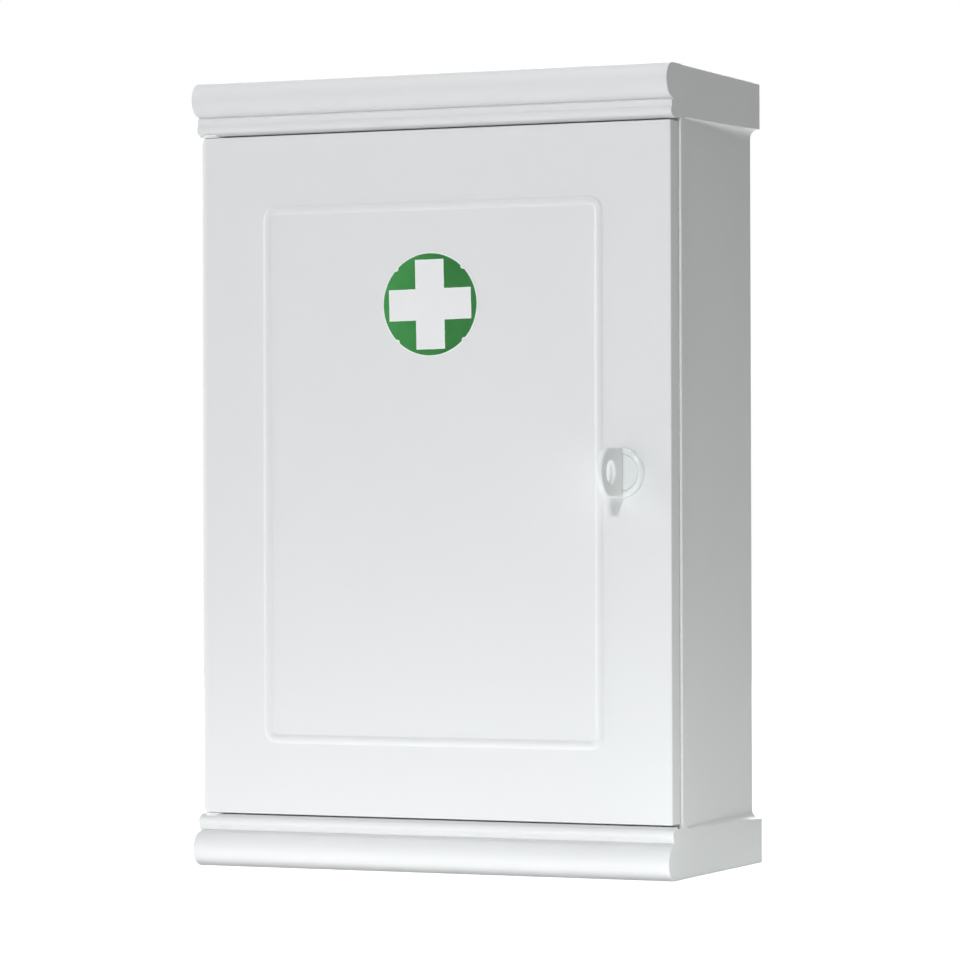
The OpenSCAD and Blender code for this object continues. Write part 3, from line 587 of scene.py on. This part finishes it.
def makeDoor():
    # the plan is carried up the door and drawn in at both ends by a quarter circle, a larger one on the hinge
    # side, which rounds its corners
    low, top, front, back = (door[name] for name in ("low", "top", "front", "back"))
    plan = doorPlan()
    leftness = np.clip(-(inset(plan, -1.0) - plan)[:, 0], 0, 1)
    radius = door["edge"] + (door["cornerHinge"] - door["edge"]) * leftness
    steps = np.array([0, 0.03, 0.1, 0.22, 0.4, 0.58, 0.8, 1.2, 1.7, 2.3, 3.0])
    draw = lambda e: radius - np.sqrt(radius**2 - np.clip(radius - e, 0, None) ** 2)
    loops = [lay(inset(plan, draw(e)), low + e, "xy") for e in steps]
    loops += [lay(plan, z, "xy") for z in np.linspace(low + 12, top - 12, 9)]
    loops += [lay(inset(plan, draw(e)), top - e, "xy") for e in steps[::-1]]
    piece = build("doorPanel", loft(loops))
    # the raised line: a low arc of a circle whose foot runs softly into the door, carried round a rectangle
    # with round corners
    wide, high, soft = door["lineWide"] / 2, door["lineHigh"], door["lineSoft"]
    bow = (wide**2 + high**2) / (2 * high)
    s = np.concatenate([np.linspace(-3.2, -2.0, 9), np.linspace(-1.7, 1.7, 11), np.linspace(2.0, 3.2, 9)])
    rise = np.sqrt(np.clip(bow**2 - s**2, 0, None)) - (bow - high)
    rise = (rise + np.sqrt(rise**2 + soft**2)) / 2 - 0.006
    s, rise = np.append(s, [3.2, -3.2]), np.append(rise, [-0.6, -0.6])
    x = door["half"] - door["lineIn"] - wide
    z = (top - low) / 2 - door["lineIn"] - wide
    rows = [lay(roundCorners(rectangle(-x - a, x + a, doorMiddle - z - a, doorMiddle + z + a),
                             door["lineCorner"] - wide + a, 12), front - h, "xz") for a, h in zip(s, rise)]
    line = build("line", loft(rows, closed=True))
    cut(line, bar(lockAt, lock["ring"] + 0.2, front - 3, front + 2, count=96))
    combine(piece, line, "UNION")
    rim = door["rim"]
    room = roundCorners(rectangle(door["stileIn"], door["half"] - rim, low + rim, top - rim), 0.8, 3)
    tray = build("tray", softPrism(room, front + door["skin"], back + 1, "xz", 0.4))
    seat = back - door["linerThick"]
    cut(tray, bar((0, 0), door["boss"], front, seat, count=32), places=linerScrews)
    cut(tray, bar(lockAt, door["lockBoss"], front, seat, count=64))
    combine(piece, tray)
    cut(piece, bar((0, 0), screwKinds["liner"]["shank"] + fit, front + 3.0, seat + 1, count=24),
        places=linerScrews)
    cut(piece, bar(lockAt, lock["housing"] + fit, front - 2, seat + 2, count=96))
    cut(piece, *(bar((hinge["x"], hinge["y"]), hinge["pin"] + fit, a, b, "z") for a, b in (
        (low - 2, low + hinge["inDoor"]), (top - hinge["inDoor"], top + 2))))
    handOver(piece, "door", "door_panel", [whiteShell])


makeDoor()

sticker = {"z": 97.0, "radius": 30.0, "thick": 0.3, "edging": 0.6, "cross": 25.85, "arm": 9.0, "border": 0.45,
           "nick": 1.0, "turn": 1.0, "inkStep": 0.04}


def makeSticker():
    # all loops share the same angles, those of the cross's corners among them. The rim is a circle with four
    # bites: within a bite of radius n the ray stops at R cos(a) - sqrt(n^2 - R^2 sin(a)^2). The cross is where
    # the ray leaves the union of two bars, the larger of two smaller distances
    s, radius = sticker, sticker["radius"]
    tips = [math.degrees(math.atan2(s["arm"] - m, s["cross"] - m)) for m in (0, s["border"])]
    eighth = np.unique(np.concatenate([np.linspace(0, tips[1], 4), tips, np.linspace(tips[0], 41.5, 9)[1:],
                                       45 - np.array([2.9, 2.5, 2.29, 2.2, 2.0, 1.6, 1.1, 0.5, 0.0])]))
    quarter = np.concatenate([eighth, 90 - eighth[-2:0:-1]])
    angle = np.radians(np.concatenate([quarter + 90 * k for k in range(4)]))

    def crossAt(less):
        c, d = np.abs(np.cos(angle)) + 1e-12, np.abs(np.sin(angle)) + 1e-12
        long, half = s["cross"] - less, s["arm"] - less
        return np.maximum(np.minimum(long / c, half / d), np.minimum(half / c, long / d))

    def rimAt(less):
        off = np.abs((angle + math.pi / 4) % (math.pi / 2) - math.pi / 4) - math.pi / 4
        bite = np.clip((s["nick"] + less) ** 2 - (radius * np.sin(off)) ** 2, 0, None)
        return np.minimum(radius - less, np.where(bite > 0, radius * np.cos(off) - np.sqrt(bite), radius))

    turned = angle + math.radians(s["turn"])
    put = lambda r, y: np.column_stack([r * np.cos(turned), np.full_like(r, y), s["z"] + r * np.sin(turned)])
    front = door["front"]
    top = front - s["thick"]
    loops = [put(rimAt(0), front), put(rimAt(0), top + 0.1), put(rimAt(0.1), top), put(rimAt(s["edging"]), top),
             put(rimAt(s["edging"] + 0.06), top + s["inkStep"]), put(crossAt(-0.06), top + s["inkStep"]),
             put(crossAt(0), top), put(crossAt(s["border"]), top)]
    piece = build("crossSticker", loft(loops))
    # the finish of each face from its middle: rim, green, border of the cross, cross
    middle = np.zeros(len(piece.data.polygons) * 3)
    piece.data.polygons.foreach_get("center", middle)
    x, depth, z = middle.reshape(-1, 3).T * 1000
    z = z - s["z"]
    turn = np.arctan2(z, x) - math.radians(s["turn"])
    r = np.hypot(x, z)
    u, v = np.abs(r * np.cos(turn)), np.abs(r * np.sin(turn))
    near, far = np.minimum(u, v), np.maximum(u, v)
    inside = lambda less: (far < s["cross"] - less) & (near < s["arm"] - less)
    bite = radius * math.sqrt(0.5)
    rim = (r > radius - s["edging"] - 0.05) | (np.hypot(u - bite, v - bite) < s["nick"] + s["edging"])
    which = np.where(inside(s["border"]), 3, np.where(inside(-0.03), 2, np.where(rim, 0, 1)))
    which = np.where(depth > front - 0.001, 0, which)
    films = [filmEdge, greenInk, borderInk, whiteInk]
    handOver(piece, "door", "cross_sticker", films, sharp=20)
    piece.data.polygons.foreach_set("material_index", which.astype(np.int32))


makeSticker()


def makeLock():
    # housing: ring, flange, tube and bore in one turned profile
    k, front = lock, door["front"]
    ringFront, flange = front - k["proud"], front - k["flange"]
    profile = roundCorners([[k["ring"], front], [k["ring"], ringFront], [k["ringIn"], ringFront],
                            [k["ringIn"], flange], [k["bore"], flange], [k["bore"], k["back"]],
                            [k["housing"], k["back"]], [k["housing"], front]],
                           [0.05, 2.2, 0.7, 0.15, 0.15, 0.3, 0.3, 0.1], 9)
    housing = build("lockHousing", lathe(profile, lockAt, "y", closed=True, count=128))
    handOver(housing, "door", "lock_housing", [lockPlastic])
    # barrel: head, shaft and driving square, with the keyway and the cam screw's hole cut in
    headFront = ringFront + k["recess"]
    profile = roundCorners([[0, headFront], [k["head"], headFront], [k["head"], flange - 0.05],
                            [k["barrel"], flange - 0.05], [k["barrel"], k["camFront"]], [0, k["camFront"]]],
                           [0, 0.45, 0.2, 0.15, 0.25, 0], 5)
    barrel = build("lockBarrel", lathe(profile, lockAt, "y", count=128))
    half = k["drive"] / 2
    at = np.array([k["x"], k["z"]])
    square = roundCorners(rectangle(-half, half, -half, half) + at, 0.4, 3)
    join(barrel, softPrism(square, k["camFront"] - 1, k["camFront"] + k["camThick"], "xz", 0.2))
    wide, high = k["slotWide"] / 2, k["slotHigh"] / 2
    slot = roundCorners(rectangle(-wide, wide, -high, high), 0.25, 3) + at
    lips = [(headFront - 1, 0.35), (headFront, 0.35), (headFront + 0.08, 0.17), (headFront + 0.35, 0.0),
            (k["slotEnd"], 0.0)]
    cut(barrel, loft([lay(inset(slot, -m), y, "xz") for y, m in lips]))
    cut(barrel, bar(lockAt, screwKinds["cam"]["shank"] + fit, k["screwEnd"], -120.0, count=24))
    handOver(barrel, "barrel", "lock_barrel", [lockPlastic])
    # nut: a hexagon kept in common with a turned blank, which chamfers its corners
    turn = np.radians(np.arange(0, 360, 60))
    far = k["nutFlats"] / 2 / math.cos(math.pi / 6)
    hexagon = np.column_stack([far * np.cos(turn), far * np.sin(turn)]) + at
    low, high = door["back"], door["back"] + k["nutThick"]
    nut = build("lockNut", softPrism(roundCorners(hexagon, 0.35, 3), low, high, "xz", 0.15))
    blank = [[0, low - 0.1], [far - 1.3, low - 0.1], [far + 0.3, low + 0.75], [far + 0.3, high - 0.75],
             [far - 1.3, high + 0.1], [0, high + 0.1]]
    combine(nut, build("blank", lathe(blank, lockAt, "y", count=96)), "INTERSECT")
    cut(nut, bar(lockAt, k["housing"] + fit, low, high, flare=0.3, count=96))
    handOver(nut, "door", "lock_nut", [steel])
    # cam: hub and arm in one outline, a square hole for the barrel
    half = k["camWide"] / 2
    lean = math.degrees(math.acos(half / k["hub"]))
    outline = np.vstack([arc((0, 0), k["hub"], -lean, 180 + lean, 40),
                         arc((0, half - k["camReach"]), half, 180, 360, 24)])
    back = k["camFront"] + k["camThick"]
    cam = build("lockCam", softPrism(outline + at, k["camFront"], back, "xz", 0.35, 4))
    drive = k["drive"] / 2 + fit
    cut(cam, softPrism(rectangle(-drive, drive, -drive, drive) + at, k["camFront"] - 1, back + 1, "xz", 0.1))
    handOver(cam, "barrel", "lock_cam", [steel])
    washer = roundCorners(rectangle(1.7, k["washer"], back, back + k["washerThick"]), [0.1, 0.2, 0.3, 0.1], 3)
    piece = build("camWasher", lathe(washer, lockAt, "y", closed=True))
    handOver(piece, "barrel", "cam_washer", [steel])
    makeScrew("camScrew", "barrel", "cam_screw", "cam", [lockAt], back + k["washerThick"])


def makeScrew(name, body, stands, kind, places, seat):
    # head and shank in one turned profile, domed or countersunk, with a cross recess that narrows inwards
    k = screwKinds[kind]
    high, head, shank, slot = k["high"], k["head"], k["shank"], k["slot"]
    top, end = seat + high, seat - k["long"]
    if k["sunk"]:
        profile = roundCorners([[0, top], [head, top], [shank, seat], [shank, end], [0, end]],
                               [0, 0.15, 0.1, 0.4, 0], 4)
    else:
        turn = np.linspace(0, 1, 9) * np.pi / 2
        dome = np.column_stack([head * np.sin(turn), top - high * 0.62 * (1 - np.cos(turn))])
        lower = roundCorners([[head, seat + high * 0.2], [head, seat], [shank, seat], [shank, end], [0, end]],
                             [0, 0.2, 0.1, 0.4, 0], 4)
        profile = np.vstack([dome, lower])
    screw = build(name, lathe(profile, (0, 0), "y", count=40), places=[(x, 0, z) for x, z in places])
    deep = 0.55 * (top - seat)
    for a, b in ((slot / 2, slotWide / 2), (slotWide / 2, slot / 2)):
        mouth = rectangle(-a, a, -b, b)
        form = loft([lay(mouth, top + 1, "xz"), lay(mouth, top, "xz"), lay(mouth * 0.72, top - deep, "xz")])
        cut(screw, form, places=[(x, 0, z) for x, z in places])
    handOver(screw, body, stands, [steel])


makeLock()

key = {"out": 30.5, "half": 14.0, "thick": 3.7, "soft": 1.25, "hole": 6.5, "gap": 0.3, "blade": 7.0,
       "bladeThick": 2.2, "bladeEnd": -126.65, "notch": (1.6, 0.8, 4.0, 1.9), "notchLean": 0.15, "nose": 0.9}


def makeKey():
    # the bow's outline is a square end towards the lock and a half circle outwards, its faces' edges well
    # rounded
    root = door["front"] - lock["proud"] - key["gap"]
    centre, half = root - key["out"] + key["half"], key["half"]
    outline = np.vstack([arc((centre, 0), half, 270, 90, 40), [[root - 4.0, half], [root - 2.0, half]],
                         arc((root - 0.5, half - 0.5), 0.5, 90, 0, 4),
                         arc((root - 0.5, 0.5 - half), 0.5, 0, -90, 4),
                         [[root - 2.0, -half], [root - 4.0, -half]]]) + [0, lock["z"]]
    thick = key["thick"] / 2
    soft = key["soft"] * np.clip((root - outline[:, 0]) / 3.0, 0.12, 1.0)      # sharper where it meets the lock
    piece = build("cabinetKey", softPrism(outline, lock["x"] - thick, lock["x"] + thick, "yz", soft, 5))
    w = np.linspace(0, np.pi / 2, 6)
    lip = key["soft"] * 0.8
    out, up = lip * (1 - np.cos(w)), lip * np.sin(w)
    a = np.concatenate([[out[-1]], out[::-1], out, [out[-1]]]) + key["hole"]
    x = np.concatenate([[-thick - 1], -thick + lip - up[::-1], thick - lip + up, [thick + 1]]) + lock["x"]
    turn = np.linspace(0, 2 * np.pi, 72, endpoint=False)
    a, x = a[:, None], x[:, None]
    cut(piece, loft(np.stack([x + 0 * turn, centre + a * np.cos(turn), lock["z"] + a * np.sin(turn)], -1)))
    wide, deep, step, last = key["notch"]
    high, end, lean, nose = key["blade"] / 2, key["bladeEnd"], key["notchLean"], key["nose"]
    steps = [[root - 1.5, high]]
    for i in (2, 1, 0):
        near = end - last - wide - step * i
        steps += [[near, high], [near + lean, high - deep], [near + wide - lean, high - deep],
                  [near + wide, high]]
    steps += [[end - nose, high], [end, high - nose], [end, nose - high], [end - nose, -high],
              [root - 1.5, -high]]
    t = key["bladeThick"] / 2
    join(piece, softPrism(np.array(steps) + [0, lock["z"]], lock["x"] - t, lock["x"] + t, "yz", 0.12, 2))
    handOver(piece, "key", "key", [keyPlastic])


makeKey()


def makeHinges():
    h = hinge
    at = (h["x"], h["y"])
    for name, face, way, pinStart in (("upper", box["crown"], -1, door["top"]),
                                      ("lower", box["base"], 1, door["low"])):
        # bush: collar, body and bore in one turned profile, standing on the moulding's face
        collar, deep = face + way * h["collarThick"], face - way * h["bushLong"]
        profile = roundCorners([[h["bore"], deep], [h["bush"], deep], [h["bush"], face], [h["collar"], face],
                                [h["collar"], collar], [h["bore"], collar]], [0.2, 0.4, 0.1, 0.3, 0.6, 0.3], 5)
        bush = build(name + "HingeBush", lathe(profile, at, "z", closed=True, count=96))
        handOver(bush, "carcass", name + "_hinge_bush", [bushPlastic])
        low, top = sorted((pinStart + way * h["inDoor"], pinStart - way * (h["gap"] + h["inBush"])))
        rod = roundCorners([[0, low], [h["pin"], low], [h["pin"], top], [0, top]], [0, 0.5, 0.5, 0], 5)
        pin = build(name + "HingePin", lathe(rod, at, "z", count=48))
        handOver(pin, "door", name + "_hinge_pin", [steel])


makeHinges()

shelf = {"front": -112.0, "back": -3.5, "clear": 0.5, "lipThick": 2.5, "lipDown": 9.0, "lipUp": 8.0, "ribs": 5,
         "ribHalf": 1.0, "ribDown": 7.0, "ribInset": 25.0}


def makeShelf(name, top):
    # plate, lip and ribs; the sides follow the leaning walls
    f, front, back, plate = shelf, shelf["front"], shelf["back"], box["shelfThick"]
    near, far = (sideX(y) - box["wall"] - f["clear"] for y in (front, back))
    plan = np.array([[-near, front], [near, front], [far, back], [-far, back]])
    piece = build(name + "Shelf", softPrism(roundCorners(plan, 1.2, 4), top - plate, top, "xy", 0.5, 3))
    lip = roundCorners(rectangle(-near, near, front, front + f["lipThick"]), 0.8, 4)
    join(piece, softPrism(lip, top - f["lipDown"], top + f["lipUp"], "xy", 0.9, 4))
    reach = far - box["ledgeWide"] - f["ribInset"]
    rib = roundCorners(rectangle(-f["ribHalf"], f["ribHalf"], front + 0.5, back - 5.0), 0.4, 2)
    join(piece, softPrism(rib, top - f["ribDown"], top - plate + 0.6, "xy", 0.4, 2),
         places=[(x, 0, 0) for x in np.linspace(-reach, reach, f["ribs"])])
    handOver(piece, "carcass", name + "_shelf", [whiteInner])


for name, top in zip(("lower", "upper"), box["shelfTops"]):
    makeShelf(name, top)


def makeLiner():
    # a plate that fills the door's back, with countersunk holes and a hole for the lock
    gap, rim, back = door["linerGap"], door["rim"], door["back"]
    plan = roundCorners(rectangle(door["stileIn"] + gap, door["half"] - rim - gap,
                                  door["low"] + rim + gap, door["top"] - rim - gap), 0.8, 4)
    piece = build("doorLiner", softPrism(plan, back - door["linerThick"], back, "xz", 0.3))
    cut(piece, bar(lockAt, lock["housing"] + fit, back - 3, back + 1, count=96))
    sink = lathe([[1.53, back - 4], [1.53, back - 1.5], [3.03, back], [3.1, back + 1]], (0, 0), "y", count=40)
    cut(piece, sink, places=linerScrews)
    handOver(piece, "door", "door_liner", [whiteInner])
    places = [place[::2] for place in linerScrews]
    makeScrew("linerScrews", "door", "liner_screws", "liner", places, back - screwKinds["liner"]["high"])


makeLiner()

keeper = {"end": 146.08, "edge": 138.4, "front": -128.6, "back": -124.4, "thick": 0.6, "low": -18.5,
          "high": 17.5}
buffer = {"x": 144.5, "heights": (147.8, -148.8), "radius": 4.0, "dome": 3.2, "proud": 0.8}


def makeSmallParts():
    rim, inner = box["rim"], box["rim"] + box["wall"]
    for name, z in zip(("cornice", "plinth"), box["screwLines"]):
        makeScrew(name + "Screws", "carcass", name + "_screws", "front", [(x, z) for x in screwRow], inner)
    # keeper: a strip bent round the flange's edge, drawn out along z
    k = keeper
    end, edge, front, back, thick = k["end"], k["edge"], k["front"], k["back"], k["thick"]
    clip = roundCorners([[end, front], [edge, front], [edge, back], [end, back], [end, back - thick],
                         [edge + thick, back - thick], [edge + thick, front + thick], [end, front + thick]],
                        [0.15, 0.7, 0.7, 0.15, 0.15, 0.15, 0.15, 0.15], 4)
    piece = build("lockKeeper", softPrism(clip, k["low"], k["high"], "xy", 0.15, 2))
    handOver(piece, "carcass", "lock_keeper", [steel])
    # buffers: a shallow bowl that rises with the radius squared, with a quarter round outside
    dome, proud = buffer["dome"], buffer["proud"]
    rise = np.linspace(0, 1, 7)
    bowl = np.column_stack([dome * rise, rim - proud + 0.12 * rise**2])
    side = np.column_stack([dome + (buffer["radius"] - dome) * np.sin(rise * np.pi / 2),
                            rim - (proud - 0.12) * np.cos(rise * np.pi / 2)])
    profile = np.vstack([bowl, side[1:], [[0, rim]]])
    places = [(buffer["x"], 0, z) for z in buffer["heights"]]
    piece = build("doorBuffers", lathe(profile, (0, 0), "y", count=48), places=places)
    handOver(piece, "carcass", "door_buffers", [rubber])


makeSmallParts()
print("pieces made")

view = {"place": (1.0342, -2.3919, -0.0202), "yaw": 24.02, "pitch": 0.371, "roll": -0.157, "lens": 161.5,
        "sensor": 36.0}


def addCamera():
    # turned by the yaw about the upright, by the pitch about its own side and by the roll about its line of
    # sight
    camera = bpy.data.objects.new("camera", bpy.data.cameras.new("camera"))
    scene.collection.objects.link(camera)
    camera.data.lens, camera.data.sensor_width = view["lens"], view["sensor"]
    camera.data.clip_start, camera.data.clip_end = 0.05, 60.0
    turn = (Matrix.Rotation(math.radians(view["yaw"]), 4, "Z")
            @ Matrix.Rotation(math.radians(90 + view["pitch"]), 4, "X")
            @ Matrix.Rotation(math.radians(view["roll"]), 4, "Z"))
    camera.matrix_world = Matrix.Translation(view["place"]) @ turn
    scene.camera = camera


studio = {
    "floorHalf": 9000.0,    # millimetres
    "floorPaint": 0.88,
    "floorSeen": 0.8,       # how bright the floor is to the camera and in reflections, besides the lamps' light
    "fadeFrom": 0.6,        # metres from the object, from where the floor turns white to the camera
    "fadeTo": 1.5,
    "world": 0.03,          # light from all round; the camera and reflections see the full white
}
# each lamp's place, the point it faces, its size in metres, its watts and its tint
lamps = {
    "keyLamp": ((0.54, -2.50, 1.08), (0, -0.14, 0.0), (0.26, 0.26), 23.2, "cool"),
    "leftCard": ((-2.4, -0.75, 0.15), (0.0, -0.141, 0.0), (1.4, 2.0), 30.5, "cool"),
    "topLamp": ((0.0, -0.6, 1.5), (0, -0.25, 0.0), (1.4, 1.0), 3.8, "cool"),
    "sideHigh": ((0.25, -0.07, 1.9), (0.25, -0.07, 0.0), (0.2, 0.7), 8.0, "cool"),
    "lowFront": ((0.25, -1.7, -0.16), (0.02, -0.15, -0.2), (1.4, 0.12), 2.1, "cool"),
    "backLamp": ((-0.7, 2.3, 0.9), (0.0, 0.0, 0.0), (1.4, 1.4), 14.0, "cool"),
    "floorNear": ((0.0, -0.266, -0.2297), (0.0, -0.266, 1.0), (0.62, 0.228), 0.28, "cool"),
    "floorSide": ((0.3955, -0.02, -0.2297), (0.3955, -0.02, 1.0), (0.49, 0.62), 0.36, "green"),
}
lampTints = {"cool": (0.975, 0.99, 1.0), "green": (0.92, 1.0, 0.93)}


def addLamp(name, place, aim, size, power, tint="cool"):
    # a rectangular lamp that faces the point it is aimed at, unseen by the camera
    lamp = bpy.data.lights.new(name, "AREA")
    lamp.shape, lamp.size, lamp.size_y, lamp.energy = "RECTANGLE", size[0], size[1], power
    holder = bpy.data.objects.new(name, lamp)
    scene.collection.objects.link(holder)
    way = Vector(aim) - Vector(place)
    holder.location, holder.rotation_euler = place, way.to_track_quat("-Z", "Y").to_euler()
    holder.visible_camera = False
    lamp.color = lampTints[tint]


def plainRays(tree):
    # 1 for what the camera sees, straight, in a reflection or through something clear
    ends = tree.nodes.new("ShaderNodeLightPath").outputs
    seen, glossy, through = (Wire(ends[f"Is {name} Ray"]) for name in ("Camera", "Glossy", "Transmission"))
    return seen.maths("MINIMUM", seen + glossy + through, 1.0)


def addStudio():
    # a pale floor that keeps the object's shadow, and a world that is white to the camera and in reflections
    wide, top = studio["floorHalf"], -box["halfHeight"]
    floor = build("floor", loft([lay(rectangle(-wide, wide, -wide, wide), z, "xy") for z in (top - 10.0, top)]))
    material, shader, here = newFinish("floorPaint")
    seen = plainRays(material.node_tree)
    away = here.add("ShaderNodeVectorMath", {"operation": "LENGTH"}, {0: here}, out=1)
    away = away.between(studio["fadeFrom"], studio["fadeTo"])
    bright = seen * (studio["floorSeen"] + away * (1 - studio["floorSeen"]))
    fill(shader, {"Base Color": shaded((1, 1, 1), studio["floorPaint"]), "Roughness": 0.9,
                  "Specular IOR Level": 0.0, "Emission Color": bright.colours((0, 0, 0, 1), (1, 1, 1, 1)),
                  "Emission Strength": 1.0})
    floor.data.materials.append(material)
    world = bpy.data.worlds.new("studio")
    world.use_nodes = True
    scene.world = world
    seen = plainRays(world.node_tree)
    fill(world.node_tree.nodes["Background"],
         {"Strength": studio["world"] + seen * (1 - studio["world"]), "Color": (1, 1, 1, 1)})
    for name, lamp in lamps.items():
        addLamp(name, *lamp)


addCamera()
addStudio()
scene.view_settings.view_transform = "Standard"
print("camera and studio set")
